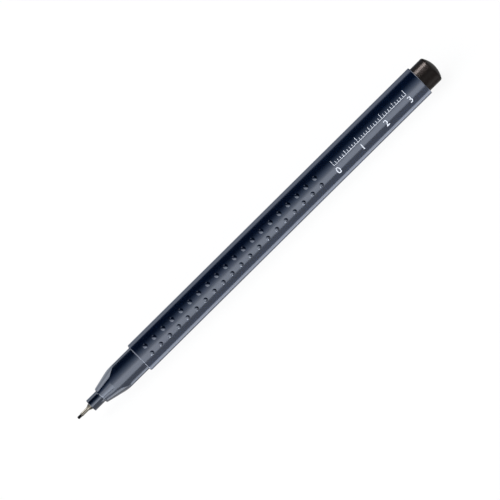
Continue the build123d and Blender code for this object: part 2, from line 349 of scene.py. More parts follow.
def spun_outline_tree():
    """The tree that carries an outline round the axis, along a circle or along the barrel's rounded triangle.

    An outline's point has its station in X and its distance from the axis in Y, and the outline runs towards
    +X on its outside. On the triangle a point moves out with the section by its attribute follow, and along
    the axis by its attribute slide.
    """
    tree, node, given = new_geometry_tree("Spun Outline", triangle_inputs)

    # Section: one crowned face and the corner arc beside it, three times round
    face, turn = face_angles[0], given["Face Turn"]
    face_start = node("ShaderNodeMath", {0: face, 1: turn}, operation="SUBTRACT")
    face_sweep = node("ShaderNodeMath", {0: turn, 1: 2.0}, operation="MULTIPLY")
    back = node("ShaderNodeMath", {0: given["Crown Reach"], 1: -1.0}, operation="MULTIPLY")
    corner_start = node("ShaderNodeMath", {0: face, 1: turn})
    corner_sweep = node("ShaderNodeMath", {0: 2 * half_corner, 1: face_sweep}, operation="SUBTRACT")
    sides = (
        (face, back, given["Crown Radius"], face_start, face_sweep),
        (face + half_corner, given["Corner Reach"], given["Corner Radius"], corner_start, corner_sweep),
    )
    arcs = []
    for facing, reach, radius, start, sweep in sides:
        arc = {"Resolution": given["Segments"], "Radius": radius, "Start Angle": start, "Sweep Angle": sweep}
        arc = node("GeometryNodeCurveArc", arc)
        out = (math.cos(facing), math.sin(facing), 0)
        centre = node("ShaderNodeVectorMath", {0: out, "Scale": reach}, operation="SCALE")
        arcs.append(node("GeometryNodeTransform", {"Geometry": arc, "Translation": centre}))
    third = node("GeometryNodeJoinGeometry", {"Geometry": arcs})
    turns = [(0, 0, facing - face) for facing in face_angles]
    thirds = [node("GeometryNodeTransform", {"Geometry": third, "Rotation": turned}) for turned in turns]
    ring = node("GeometryNodeJoinGeometry", {"Geometry": thirds})
    ring = node("GeometryNodeCurveToMesh", {"Curve": ring})
    ring = node("GeometryNodeMergeByDistance", {"Geometry": ring, "Distance": weld_distance})
    triangle = node("GeometryNodeMeshToCurve", {"Mesh": ring})
    around = node("ShaderNodeMath", {0: given["Segments"], 1: 3.0}, operation="MULTIPLY")
    circle = node("GeometryNodeCurvePrimitiveCircle", {"Resolution": around, "Radius": 1.0})
    section = {"Switch": given["Triangular"], "False": circle, "True": triangle}
    section = node("GeometryNodeSwitch", section, input_type="GEOMETRY")

    # A grid with a column for each point of the outline and a row for each point of the section
    outline = given["Outline"]
    columns = node("GeometryNodeAttributeDomainSize", {"Geometry": outline}).outputs["Point Count"]
    ring_size = node("GeometryNodeAttributeDomainSize", {"Geometry": section}, component="CURVE")
    ring_size = ring_size.outputs["Point Count"]
    rows = node("FunctionNodeIntegerMath", {0: ring_size, 1: 1})
    grid = node("GeometryNodeMeshGrid", {"Vertices X": columns, "Vertices Y": rows})
    index = node("GeometryNodeInputIndex")
    column = node("FunctionNodeIntegerMath", {0: index, 1: rows}, operation="DIVIDE_FLOOR")
    row = node("FunctionNodeIntegerMath", {0: index, 1: rows}, operation="MODULO")
    row = node("FunctionNodeIntegerMath", {0: row, 1: ring_size}, operation="MODULO")

    # Each point of the grid: the outline's point, moved out along the section's direction
    place = node("GeometryNodeInputPosition")
    drawn = {"Geometry": outline, "Index": column}
    point = node("GeometryNodeSampleIndex", {**drawn, "Value": place}, data_type="FLOAT_VECTOR")
    point = node("ShaderNodeSeparateXYZ", {0: point}).outputs
    moves = []
    for name in ("follow", "slide"):
        attribute = node("GeometryNodeInputNamedAttribute", {"Name": name}, data_type="FLOAT")
        moves.append(node("GeometryNodeSampleIndex", {**drawn, "Value": attribute}, data_type="FLOAT"))
    spoke = {"Geometry": section, "Index": row, "Value": place}
    spoke = node("GeometryNodeSampleIndex", spoke, data_type="FLOAT_VECTOR")
    reach = node("ShaderNodeVectorMath", {0: spoke}, operation="LENGTH").outputs["Value"]
    excess = node("ShaderNodeMath", {0: reach, 1: given["Drawn Radius"]}, operation="SUBTRACT")
    out = node("ShaderNodeMath", {0: moves[0], 1: excess, 2: point["Y"]}, operation="MULTIPLY_ADD")
    along = node("ShaderNodeMath", {0: moves[1], 1: excess, 2: point["X"]}, operation="MULTIPLY_ADD")
    direction = node("ShaderNodeVectorMath", {0: spoke}, operation="NORMALIZE")
    arm = node("ShaderNodeVectorMath", {0: direction, "Scale": out}, operation="SCALE")
    arm = node("ShaderNodeSeparateXYZ", {0: arm}).outputs
    spun = node("ShaderNodeCombineXYZ", {"X": along, "Y": arm["X"], "Z": arm["Y"]})
    shell = node("GeometryNodeSetPosition", {"Geometry": grid, "Position": spun})
    shell = node("GeometryNodeMergeByDistance", {"Geometry": shell, "Distance": weld_distance})
    outward = node("GeometryNodeFlipFaces", {"Mesh": shell})
    node("NodeGroupOutput", {"Geometry": outward})
    return tree


def finish_tree(node, given, geometry, turned=(0, 0, 0)):
    """The end of a tree: turned, lifted to the axis, made real, shaded, and given its material."""
    lift = node("ShaderNodeCombineXYZ", {"Z": given["Axis Height"]})
    placed = {"Geometry": geometry, "Translation": lift, "Rotation": turned}
    placed = node("GeometryNodeTransform", placed)
    real = node("GeometryNodeRealizeInstances", {"Geometry": placed})
    smooth = node("GeometryNodeSetShadeSmooth", {"Geometry": real})
    bend = node("GeometryNodeInputMeshEdgeAngle")
    sharp = node("ShaderNodeMath", {0: bend, 1: sharp_angle}, operation="GREATER_THAN")
    edges = {"Geometry": smooth, "Selection": sharp, "Shade Smooth": False}
    edges = node("GeometryNodeSetShadeSmooth", edges, domain="EDGE")
    dressed = node("GeometryNodeSetMaterial", {"Geometry": edges, "Material": given["Material"]})
    node("NodeGroupOutput", {"Geometry": dressed})


def spun_piece_tree(spun):
    """The tree of a spun piece, which lifts it to the pen's axis and gives it its material."""
    tree, node, given = new_geometry_tree("Spun Piece", {**triangle_inputs, **placed_inputs})
    links = {label: given[label] for label in ("Outline", *triangle_inputs)}
    finish_tree(node, given, node("GeometryNodeGroup", links, node_tree=spun))
    return tree


def grip_dots_tree(spun):
    """The tree of the grip dots: a dome, in two rows on each of the three faces."""
    inputs = {
        "Segments": "Int",
        "Count": "Int",
        "First Station": "Float",
        "Pitch": "Float",
        "Crown Radius": "Float",
        "Crown Reach": "Float",
        "Row Lean": "Float",
    }
    tree, node, given = new_geometry_tree("Grip Dots", {**inputs, **placed_inputs})
    dome = {"Outline": given["Outline"], "Segments": given["Segments"]}
    dome = node("GeometryNodeGroup", dome, node_tree=spun)
    dome = node("GeometryNodeTransform", {"Geometry": dome, "Rotation": (0, -right_angle, 0)})
    first = node("ShaderNodeCombineXYZ", {"X": given["First Station"], "Z": given["Crown Radius"]})
    step = node("ShaderNodeCombineXYZ", {"X": given["Pitch"]})
    line = {"Count": given["Count"], "Start Location": first, "Offset": step}
    line = node("GeometryNodeMeshLine", line, mode="OFFSET")
    row = node("GeometryNodeInstanceOnPoints", {"Points": line, "Instance": dome})
    pair = []
    for side in (-1.0, 1.0):
        lean = node("ShaderNodeMath", {0: given["Row Lean"], 1: side}, operation="MULTIPLY")
        lean = node("ShaderNodeCombineXYZ", {"X": lean})
        pair.append(node("GeometryNodeTransform", {"Geometry": row, "Rotation": lean}))
    pair = node("GeometryNodeJoinGeometry", {"Geometry": pair})
    back = node("ShaderNodeMath", {0: given["Crown Reach"], 1: -1.0}, operation="MULTIPLY")
    back = node("ShaderNodeCombineXYZ", {"Z": back})
    pair = node("GeometryNodeTransform", {"Geometry": pair, "Translation": back})
    turns = [(facing - right_angle, 0, 0) for facing in face_angles]
    faces = [node("GeometryNodeTransform", {"Geometry": pair, "Rotation": turned}) for turned in turns]
    finish_tree(node, given, node("GeometryNodeJoinGeometry", {"Geometry": faces}))
    return tree


def printed_scale_tree():
    """The tree of the printed scale: a rule, its ticks and its numerals, laid on the crown of one face."""
    inputs = {
        "First Station": "Float",
        "Step": "Float",
        "Ticks": "Int",
        "Tick Length": "Float",
        "Tick Width": "Float",
        "Rule Width": "Float",
        "Numeral Size": "Float",
        "Numeral Gap": "Float",
        "Thickness": "Float",
        "Crown Radius": "Float",
        "Crown Reach": "Float",
    }
    tree, node, given = new_geometry_tree("Printed Scale", {**inputs, **placed_inputs})
    station, step, thick = given["First Station"], given["Step"], given["Thickness"]

    # The rule, from the first tick to the last
    spaces = node("ShaderNodeMath", {0: given["Ticks"], 1: 1.0}, operation="SUBTRACT")
    run = node("ShaderNodeMath", {0: spaces, 1: step, 2: given["Tick Width"]}, operation="MULTIPLY_ADD")
    size = node("ShaderNodeCombineXYZ", {"X": run, "Y": given["Rule Width"], "Z": thick})
    rule = node("GeometryNodeMeshCube", {"Size": size, "Vertices X": rule_points})
    middle = node("ShaderNodeMath", {0: spaces, 1: 0.5}, operation="MULTIPLY")
    middle = node("ShaderNodeMath", {0: middle, 1: step, 2: station}, operation="MULTIPLY_ADD")
    middle = node("ShaderNodeCombineXYZ", {"X": middle})
    rule = node("GeometryNodeTransform", {"Geometry": rule, "Translation": middle})

    # Ticks stand on the rule, longer at every fifth and longest at every tenth
    size = node("ShaderNodeCombineXYZ", {"X": given["Tick Width"], "Y": given["Tick Length"], "Z": thick})
    tick = node("GeometryNodeMeshCube", {"Size": size, "Vertices Y": tick_points})
    foot = node("ShaderNodeMath", {0: given["Tick Length"], 1: 0.5}, operation="MULTIPLY")
    foot = node("ShaderNodeCombineXYZ", {"Y": foot})
    tick = node("GeometryNodeTransform", {"Geometry": tick, "Translation": foot})
    first = node("ShaderNodeCombineXYZ", {"X": station})
    offset = node("ShaderNodeCombineXYZ", {"X": step})
    line = {"Count": given["Ticks"], "Start Location": first, "Offset": offset}
    line = node("GeometryNodeMeshLine", line, mode="OFFSET")
    index = node("GeometryNodeInputIndex")
    growth = 1.0
    for every in tall_ticks:
        rest = node("FunctionNodeIntegerMath", {0: index, 1: every}, operation="MODULO")
        hit = node("ShaderNodeMath", {0: rest, 1: 0.5}, operation="LESS_THAN")
        growth = node("ShaderNodeMath", {0: hit, 1: tick_growth, 2: growth}, operation="MULTIPLY_ADD")
    grown_tick = node("ShaderNodeCombineXYZ", {"X": 1.0, "Y": growth, "Z": 1.0})
    ticks = node("GeometryNodeInstanceOnPoints", {"Points": line, "Instance": tick, "Scale": grown_tick})

    # A numeral under every tenth tick, as thick as the rule
    under = node("ShaderNodeMath", {0: given["Numeral Gap"], 1: -1.0}, operation="MULTIPLY")
    depth = node("ShaderNodeMath", {0: thick, 1: -0.5}, operation="MULTIPLY")
    drawn = []
    for order, numeral in enumerate(numerals):
        text = {"String": numeral, "Size": given["Numeral Size"]}
        text = node("GeometryNodeStringToCurves", text, align_x="CENTER", align_y="TOP")
        text = node("GeometryNodeRealizeInstances", {"Geometry": text})
        along = {0: step, 1: float(numeral_ticks * order), 2: station}
        along = node("ShaderNodeMath", along, operation="MULTIPLY_ADD")
        spot = node("ShaderNodeCombineXYZ", {"X": along, "Y": under, "Z": depth})
        drawn.append(node("GeometryNodeTransform", {"Geometry": text, "Translation": spot}))
    drawn = node("GeometryNodeJoinGeometry", {"Geometry": drawn})
    # Short steps, so that a long stroke bends with the crown
    drawn = node("GeometryNodeResampleCurve", {"Curve": drawn, "Length": numeral_step}, mode="LENGTH")
    sole = node("GeometryNodeFillCurve", {"Curve": drawn})
    raised = {"Mesh": sole, "Offset Scale": thick, "Individual": False}
    raised = node("GeometryNodeExtrudeMesh", raised)
    sole = node("GeometryNodeFlipFaces", {"Mesh": sole})
    drawn = node("GeometryNodeJoinGeometry", {"Geometry": [raised, sole]})
    drawn = node("GeometryNodeMergeByDistance", {"Geometry": drawn, "Distance": weld_distance})
    flat = node("GeometryNodeJoinGeometry", {"Geometry": [rule, ticks, drawn]})
    flat = node("GeometryNodeRealizeInstances", {"Geometry": flat})

    # Wrapped round the crown, then turned to the face
    crown = given["Crown Radius"]
    place = node("ShaderNodeSeparateXYZ", {0: node("GeometryNodeInputPosition")}).outputs
    bend = node("ShaderNodeMath", {0: place["Y"], 1: crown}, operation="DIVIDE")
    height = node("ShaderNodeMath", {0: crown, 1: place["Z"]})
    sine = node("ShaderNodeMath", {0: bend}, operation="SINE")
    cosine = node("ShaderNodeMath", {0: bend}, operation="COSINE")
    across = node("ShaderNodeMath", {0: height, 1: sine}, operation="MULTIPLY")
    up = node("ShaderNodeMath", {0: height, 1: cosine}, operation="MULTIPLY")
    up = node("ShaderNodeMath", {0: up, 1: given["Crown Reach"]}, operation="SUBTRACT")
    laid = node("ShaderNodeCombineXYZ", {"X": place["X"], "Y": across, "Z": up})
    wrapped = node("GeometryNodeSetPosition", {"Geometry": flat, "Position": laid})
    finish_tree(node, given, wrapped, (shown_face_angle - right_angle, 0, 0))
    return tree


class Corner(NamedTuple):
    """A corner of an outline. Its round is a radius. Follow and slide say how it moves with the triangle."""

    x: float
    out: float
    round: float = 0.0
    follow: float = 0.0
    slide: float = 0.0


def rounded(before, corner, after):
    """The points that stand for a corner: itself, or the arc that rounds it.

    A point close beyond each end of the arc keeps the shading of the straight stretches beside it flat.
    """
    if not corner.round:
        return [corner]
    hold = min(corner.round / 4, hold_distance)
    here = Vector((corner.x, corner.out))
    back = (Vector((before.x, before.out)) - here).normalized()
    on = (Vector((after.x, after.out)) - here).normalized()
    half = back.angle(on) / 2
    centre = here + (back + on).normalized() * (corner.round / math.sin(half))
    tangent = corner.round / math.tan(half)
    start = (here + back * tangent - centre).normalized()
    end = (here + on * tangent - centre).normalized()
    turns = [start.slerp(end, step / round_steps) for step in range(round_steps + 1)]
    arc = [centre + turned * corner.round for turned in turns]
    arc = [here + back * (tangent + hold), *arc, here + on * (tangent + hold)]
    return [corner._replace(x=point.x, out=point.y) for point in arc]


def cap_corners(rim_x, rim, height, count):
    """The corners of a low dome, from its rim to its top, in a count of steps."""
    radius = (rim**2 + height**2) / (2 * height)
    spread = math.asin(rim / radius)
    centre_x = rim_x + height - radius
    turns = [spread * step / count for step in range(count, -1, -1)]
    return [Corner(centre_x + radius * math.cos(turned), radius * math.sin(turned)) for turned in turns]


def outline_mesh(name, corners, closed):
    """The mesh of an outline's points, with arcs for its rounds and its straight stretches divided."""
    points = []
    for index, corner in enumerate(corners):
        points.extend(rounded(corners[index - 1], corner, corners[(index + 1) % len(corners)]))
    if closed:
        points.append(points[0])
    traced = points[:1]
    for before, after in zip(points, points[1:]):
        pieces = math.ceil(math.hypot(after.x - before.x, after.out - before.out) / longest_stretch)
        for step in range(1, pieces + 1):
            traced.append(Corner(*(a + (b - a) * step / pieces for a, b in zip(before, after))))
    mesh = bpy.data.meshes.new(name)
    mesh.from_pydata([(point.x, point.out, 0) for point in traced], [], [])
    for attribute in ("follow", "slide"):
        values = mesh.attributes.new(attribute, "FLOAT", "POINT")
        values.data.foreach_set("value", [getattr(point, attribute) for point in traced])
    return mesh


def grown(name, mesh, tree, inputs):
    """A new object on which a tree has run, with the result as its plain mesh."""
    piece = bpy.data.objects.new(name, mesh)
    bpy.context.scene.collection.objects.link(piece)
    modifier = piece.modifiers.new(name, "NODES")
    modifier.node_group = tree
    for item in tree.interface.items_tree:
        if item.in_out == "INPUT" and item.name in inputs:
            modifier[item.identifier] = inputs[item.name]
    shape = piece.evaluated_get(bpy.context.evaluated_depsgraph_get())
    piece.data = bpy.data.meshes.new_from_object(shape)
    piece.data.name = name
    piece.modifiers.remove(modifier)
    return piece


class Triangle:
    """The barrel's rounded triangle, moved in by an inset: the centres and radii of its arcs."""

    def __init__(self, sizes, inset=0.0):
        edge = sizes.edge_radius
        across = barrel_width / 2 - edge
        self.corner_reach = across / math.sin(half_corner)
        along = self.corner_reach * math.cos(half_corner)
        self.crown_reach = math.sqrt((sizes.face_crown_radius - edge) ** 2 - across**2) - along
        self.face_turn = math.atan2(across, self.crown_reach + along)
        self.crown_radius = sizes.face_crown_radius - inset
        self.corner_radius = edge - inset
        self.face_distance = self.crown_radius - self.crown_reach
        self.corner_distance = self.corner_reach + self.corner_radius

    def inputs(self):
        """The inputs of a tree that spins an outline, drawn at a corner, along this triangle."""
        return {
            "Triangular": True,
            "Segments": ring_steps,
            "Crown Radius": self.crown_radius,
            "Crown Reach": self.crown_reach,
            "Corner Radius": self.corner_radius,
            "Corner Reach": self.corner_reach,
            "Face Turn": self.face_turn,
            "Drawn Radius": self.corner_distance,
        }


def bore_radius(sizes):
    """Radius of the barrel's bore."""
    return Triangle(sizes).face_distance - sizes.barrel_wall


def cone_end(sizes):
    """Station at which the nose's cone reaches the long edges."""
    rise = Triangle(sizes, sizes.cap_wall).corner_distance - holder_radius - sizes.nose_rim_width
    return nose_x + rise / math.tan(sizes.nose_taper)


def spun_tree():
    """The one tree that spins outlines."""
    return bpy.data.node_groups.get("Spun Outline") or spun_outline_tree()


def spin(name, corners, material, closed=True, triangle=None):
    """A piece spun from its outline, round or along a triangle."""
    tree = bpy.data.node_groups.get("Spun Piece") or spun_piece_tree(spun_tree())
    section = triangle.inputs() if triangle else {"Triangular": False, "Segments": ring_steps}
    mesh = outline_mesh(name, corners, closed)
    return grown(name, mesh, tree, {**section, "Axis Height": axis_z, "Material": material})


def put_on(piece, slot, *nodes):
    """Lets a finished piece stand for its nodes on the pen's one body."""
    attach(piece, "root")
    if nodes:
        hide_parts(*nodes)


def new_material(name):
    """A material, the function that adds a node to it, and its main shader."""
    material = bpy.data.materials.new(name)
    material.use_nodes = True
    tree = material.node_tree
    return material, partial(add, tree), tree.nodes["Principled BSDF"]


def streaks(node, along, across, detail=2.0):
    """Noise in streaks along the pen, with their length and their width."""
    place = node("ShaderNodeTexCoord").outputs["Object"]
    scale = (1 / along, 1 / across, 1 / across)
    stretched = node("ShaderNodeMapping", {"Vector": place, "Scale": scale})
    return node("ShaderNodeTexNoise", {"Vector": stretched, "Scale": 1.0, "Detail": detail})


def moulded_skin(node, shader, colours, roughness, handled):
    """The skin of a moulding: flow marks along it, the grain of its mould, and polish where it is handled.

    The two colours are the plain one and the handled one. Roughness goes from its first value to its second
    with the flow marks. Handled is the range of distances from the pen's axis over which the polish comes in.
    """
    place = node("ShaderNodeTexCoord").outputs["Object"]

    # Flow marks, about 3 mm wide and 40 mm long
    flow = streaks(node, 0.04, 0.003, detail=3.0)
    gloss = {"Value": flow, "From Min": 0.3, "From Max": 0.7, "To Min": roughness[0], "To Max": roughness[1]}
    gloss = node("ShaderNodeMapRange", gloss)

    # Handled places, by distance from the axis, are smoother by up to this much
    polished = 0.05
    arm = node("ShaderNodeVectorMath", {0: place, 1: (0, 0, axis_z)}, operation="SUBTRACT")
    arm = node("ShaderNodeVectorMath", {0: arm, 1: (0, 1, 1)}, operation="MULTIPLY")
    reach = node("ShaderNodeVectorMath", {0: arm}, operation="LENGTH").outputs["Value"]
    polish = {"Value": reach, "From Min": handled[0], "From Max": handled[1]}
    polish = node("ShaderNodeMapRange", polish, interpolation_type="SMOOTHSTEP")
    polish = node("ShaderNodeMath", {0: polish, 1: flow}, operation="MULTIPLY")
    tint = {mix_share: polish, mix_first: colours[0], mix_second: colours[1]}
    tint = node("ShaderNodeMix", tint, data_type="RGBA").outputs[mix_result]
    gloss = node("ShaderNodeMath", {0: polish, 1: -polished, 2: gloss}, operation="MULTIPLY_ADD")

    # Grain, drawn at 0.25 mm so that it shows, where the real one is about 0.06 mm
    grain = node("ShaderNodeTexNoise", {"Vector": place, "Scale": 1 / 0.00025, "Detail": 2.0})
    bump = node("ShaderNodeBump", {"Height": grain, "Strength": 1.0, "Distance": 2e-6})
    feed(shader, {"Base Color": tint, "Roughness": gloss, "Normal": bump})


def navy_polypropylene(colours):
    """Injection-moulded polypropylene from a finely eroded mould: dark navy, with a soft satin gloss."""
    material, node, shader = new_material("navy_polypropylene")
    tints = (colours.navy, colours.navy_handled)
    moulded_skin(node, shader, tints, roughness=(0.125, 0.155), handled=(0.005, 0.0056))
    feed(shader, {"Specular Tint": colours.navy_sheen, "IOR": 1.65})
    return material


def black_polypropylene(colours):
    """Injection-moulded polypropylene: a warm black that takes little light, glossier where a cap slides."""
    material, node, shader = new_material("black_polypropylene")
    tints = (colours.plug_black, colours.plug_handled)
    moulded_skin(node, shader, tints, roughness=(0.3, 0.36), handled=(plug_radius - 0.0002, plug_radius))
    feed(shader, {"IOR": 1.5, "Specular IOR Level": 0.03})
    return material


def nickel_silver(colours):
    """Drawn nickel silver: yellowish grey, with fine lines from the die, painted shade at its collar, and an
    inky mouth.
    """
    material, node, shader = new_material("drawn_nickel_silver")
    place = node("ShaderNodeTexCoord").outputs["Object"]

    # Lines from the die, drawn 0.08 mm wide so that they show, where the real ones are about 0.01 mm
    lines = streaks(node, 0.008, 0.00008)
    gloss = {"Value": lines, "From Min": 0.3, "From Max": 0.7, "To Min": 0.22, "To Max": 0.34}
    gloss = node("ShaderNodeMapRange", gloss)
    bump = node("ShaderNodeBump", {"Height": lines, "Strength": 1.0, "Distance": 1e-6})

    # Painted shade: darker from 1.4 mm before the nib holder, and fully so from 0.4 mm
    station = node("ShaderNodeSeparateXYZ", {0: place}).outputs["X"]
    holder_shade = {"Value": station, "From Min": holder_x - 0.0014, "From Max": holder_x - 0.0004}
    holder_shade = node("ShaderNodeMapRange", holder_shade, interpolation_type="SMOOTHSTEP")
    metal = {mix_share: holder_shade, mix_first: colours.metal, mix_second: colours.metal_shaded_at_holder}
    metal = node("ShaderNodeMix", metal, data_type="RGBA").outputs[mix_result]

    # Blots of ink, about 0.5 mm wide, within 0.6 mm of the mouth
    blots = node("ShaderNodeTexNoise", {"Vector": place, "Scale": 1 / 0.0005, "Detail": 3.0})
    near = {"Value": station, "From Min": sleeve_x + 0.0006, "From Max": sleeve_x, "To Max": 1.4}
    near = node("ShaderNodeMapRange", near)
    stain = node("ShaderNodeMath", {0: near, 1: blots}, operation="MULTIPLY", use_clamp=True)
    metal = {mix_share: stain, mix_first: metal, mix_second: colours.ink}
    metal = node("ShaderNodeMix", metal, data_type="RGBA").outputs[mix_result]
    feed(shader, {"Base Color": metal, "Metallic": 1.0, "Roughness": gloss, "Normal": bump})
    return material


def bonded_fibre(name, colours, width):
    """Polyester fibre bonded into a rod and soaked with ink: matt black, with paler fibres along it."""
    material, node, shader = new_material(name)
    # A fibre shows for about 30 times its width
    fibres = streaks(node, 30 * width, width)
    shown = node("ShaderNodeMapRange", {"Value": fibres, "From Min": 0.35, "From Max": 0.65})
    tint = {mix_share: shown, mix_first: colours.ink, mix_second: colours.fibre}
    tint = node("ShaderNodeMix", tint, data_type="RGBA").outputs[mix_result]
    dry = {"Value": fibres, "From Min": 0.35, "From Max": 0.65, "To Min": 0.6, "To Max": 0.9}
    dry = node("ShaderNodeMapRange", dry)
    bump = node("ShaderNodeBump", {"Height": fibres, "Strength": 1.0, "Distance": width / 8})
    feed(shader, {"Base Color": tint, "Roughness": dry, "Specular IOR Level": 0.1, "Normal": bump})
    return material


def clear_film(colours):
    """Extruded polypropylene film: thin and clear, with faint lines along it from the die."""
    material, node, shader = new_material("clear_polypropylene_film")

    # Lines about 0.6 mm wide and 60 mm long
    lines = streaks(node, 0.06, 0.0006)
    gloss = node("ShaderNodeMapRange", {"Value": lines, "To Min": 0.1, "To Max": 0.3})
    bump = node("ShaderNodeBump", {"Height": lines, "Strength": 1.0, "Distance": 4e-6})
    feed(shader, {"Base Color": colours.film, "Transmission Weight": 0.8, "IOR": 1.49})
    feed(shader, {"Roughness": gloss, "Normal": bump})
    return material


def pad_print(colours):
    """White pad-printing ink: a matt film, a little uneven where it lies thin over the navy."""
    material, node, shader = new_material("white_pad_print")
    place = node("ShaderNodeTexCoord").outputs["Object"]

    # Patches about 0.4 mm wide
    patches = node("ShaderNodeTexNoise", {"Vector": place, "Scale": 1 / 0.0004, "Detail": 3.0})
    thin = node("ShaderNodeMapRange", {"Value": patches, "From Min": 0.45, "From Max": 0.75})
    tint = {mix_share: thin, mix_first: colours.print_white, mix_second: colours.print_thin}
    tint = node("ShaderNodeMix", tint, data_type="RGBA").outputs[mix_result]
    gloss = node("ShaderNodeMapRange", {"Value": patches, "To Min": 0.4, "To Max": 0.65})
    feed(shader, {"Base Color": tint, "Roughness": gloss})
    return material


class FINELINER_OT_barrel(bpy.types.Operator):
    """Build the barrel: a rounded triangle with crowned faces and a round bore"""

    bl_idname = "fineliner.barrel"
    bl_label = "Barrel"

    def execute(self, context):
        sizes = context.scene.fineliner_sizes
        triangle = Triangle(sizes)
        outside = triangle.corner_distance
        bore = bore_radius(sizes)
        corners = [
            Corner(barrel_x, bore),
            Corner(barrel_x, outside, sizes.front_rim, follow=1),
            Corner(plug_x, outside, sizes.rear_rim, follow=1),
            Corner(plug_x, bore),
        ]
        navy = navy_polypropylene(context.scene.fineliner_colours)
        barrel = spin("barrel_shell", corners, navy, triangle=triangle)
        put_on(barrel, "navy_plastic", "barrel")
        return {"FINISHED"}


class FINELINER_OT_grip_dots(bpy.types.Operator):
    """Build the grip dots, two rows to a face"""

    bl_idname = "fineliner.grip_dots"
    bl_label = "Grip Dots"

    def execute(self, context):
        sizes = context.scene.fineliner_sizes
        triangle = Triangle(sizes)
        foot = sizes.dot_diameter / 2
        dome = cap_corners(0.0, foot, sizes.dot_height, dot_dome_steps)
        corners = [Corner(-sizes.dot_root, 0), Corner(-sizes.dot_root, foot), *dome]
        inputs = {
            "Segments": dot_ring_steps,
            "Count": sizes.dot_count,
            "First Station": barrel_x + sizes.dot_start,
            "Pitch": sizes.dot_pitch,
            "Crown Radius": triangle.crown_radius,
            "Crown Reach": triangle.crown_reach,
            "Row Lean": math.asin(sizes.dot_row_spacing / 2 / triangle.crown_radius),
            "Axis Height": axis_z,
            "Material": bpy.data.materials["navy_polypropylene"],
        }
        mesh = outline_mesh("grip_dots", corners, closed=False)
        dots = grown("grip_dots", mesh, grip_dots_tree(spun_tree()), inputs)
        put_on(dots, "navy_plastic")
        return {"FINISHED"}


class FINELINER_OT_front_section(bpy.types.Operator):
    """Build the front section: a smaller triangle that a cone cuts to the nib holder"""

    bl_idname = "fineliner.front_section"
    bl_label = "Front Section"

    def execute(self, context):
        sizes = context.scene.fineliner_sizes
        triangle = Triangle(sizes, sizes.cap_wall)
        outside = triangle.corner_distance
        rim = holder_radius + sizes.nose_rim_width
        slope = math.tan(sizes.nose_taper)
        socket = sizes.shank_diameter / 2 + sizes.clearance
        spigot = bore_radius(sizes) - sizes.clearance
        chamber = spigot - sizes.spigot_wall
        passage = sizes.nib_passage / 2
        chamber_x = shank_end_x + sizes.section_web
        corners = [
            Corner(nose_x, socket),
            Corner(nose_x, rim, sizes.nose_rim),
            Corner(cone_end(sizes), outside, sizes.nose_crease, follow=1, slide=1 / slope),
            Corner(barrel_x, outside, follow=1),
            Corner(barrel_x, spigot),
            Corner(section_end_x, spigot),
            Corner(section_end_x, chamber),
            Corner(chamber_x, chamber),
            Corner(chamber_x, passage),
            Corner(shank_end_x, passage),
            Corner(shank_end_x, socket),
        ]
        navy = bpy.data.materials["navy_polypropylene"]
        section = spin("front_section_moulding", corners, navy, triangle=triangle)
        put_on(section, "navy_plastic", "front_section")
        return {"FINISHED"}


class FINELINER_OT_nib_holder(bpy.types.Operator):
    """Build the round holder that the metal tip is pressed into"""

    bl_idname = "fineliner.nib_holder"
    bl_label = "Nib Holder"

    def execute(self, context):
        sizes = context.scene.fineliner_sizes
        shank = sizes.shank_diameter / 2
        sleeve_hole = sizes.sleeve_diameter / 2 + sizes.clearance
        nib_hole = sizes.sleeve_diameter / 2 - sizes.sleeve_wall
        corners = [
            Corner(holder_x, sleeve_hole),
            Corner(holder_x, holder_radius, sizes.holder_rim),
            Corner(nose_x, holder_radius),
            Corner(nose_x, shank),
            Corner(shank_end_x, shank),
            Corner(shank_end_x, nib_hole),
            Corner(sleeve_end_x, nib_hole),
            Corner(sleeve_end_x, sleeve_hole),
        ]
        holder = spin("nib_holder_moulding", corners, bpy.data.materials["navy_polypropylene"])
        put_on(holder, "navy_plastic", "nib_holder")
        return {"FINISHED"}


class FINELINER_OT_tip(bpy.types.Operator):
    """Build the metal tube with its collar, and the fibre in it"""

    bl_idname = "fineliner.tip"
    bl_label = "Tip"

    def execute(self, context):
        sizes = context.scene.fineliner_sizes
        colours = context.scene.fineliner_colours
        outside = sizes.sleeve_diameter / 2
        inside = outside - sizes.sleeve_wall
        flare_x = holder_x - sizes.collar_length
        lip = sizes.sleeve_wall / 3
        corners = [
            Corner(sleeve_x, inside),
            Corner(sleeve_x, outside, lip),
            Corner(flare_x, outside, sizes.collar_length),
            Corner(holder_x, sizes.collar_diameter / 2),
            Corner(holder_x, outside),
            Corner(sleeve_end_x, outside),
            Corner(sleeve_end_x, inside),
        ]
        sleeve = spin("tip_tube", corners, nickel_silver(colours))
        put_on(sleeve, "tip_metal", "tip_sleeve")
        fibre = inside - sizes.clearance
        corners = [
            Corner(tip_x, 0),
            Corner(tip_x, fibre, sizes.nib_point),
            Corner(nib_end_x, fibre),
            Corner(nib_end_x, 0),
        ]
        # Fibres are drawn 0.06 mm thick so that they show, where the real ones are about 0.02 mm
        point = bonded_fibre("ink_soaked_fibre", colours, 0.00006)
        nib = spin("fibre_point", corners, point, closed=False)
        put_on(nib, "nib_fibre", "fibre_nib")
        return {"FINISHED"}


class FINELINER_OT_ink_parts(bpy.types.Operator):
    """Give the reservoir and its film their finishes; their solids stay as they are"""

    bl_idname = "fineliner.ink_parts"
    bl_label = "Ink Parts"

    def execute(self, context):
        colours = context.scene.fineliner_colours
        # Fibres are drawn 0.2 mm thick so that they show, where the real ones are about 0.02 mm
        finishes = {
            "ink_reservoir": bonded_fibre("polyester_fibre_bundle", colours, 0.0002),
            "reservoir_film": clear_film(colours),
        }
        for node, finish in finishes.items():
            for slot in frame["nodes"][node].material_slots:
                slot.material = finish
        return {"FINISHED"}


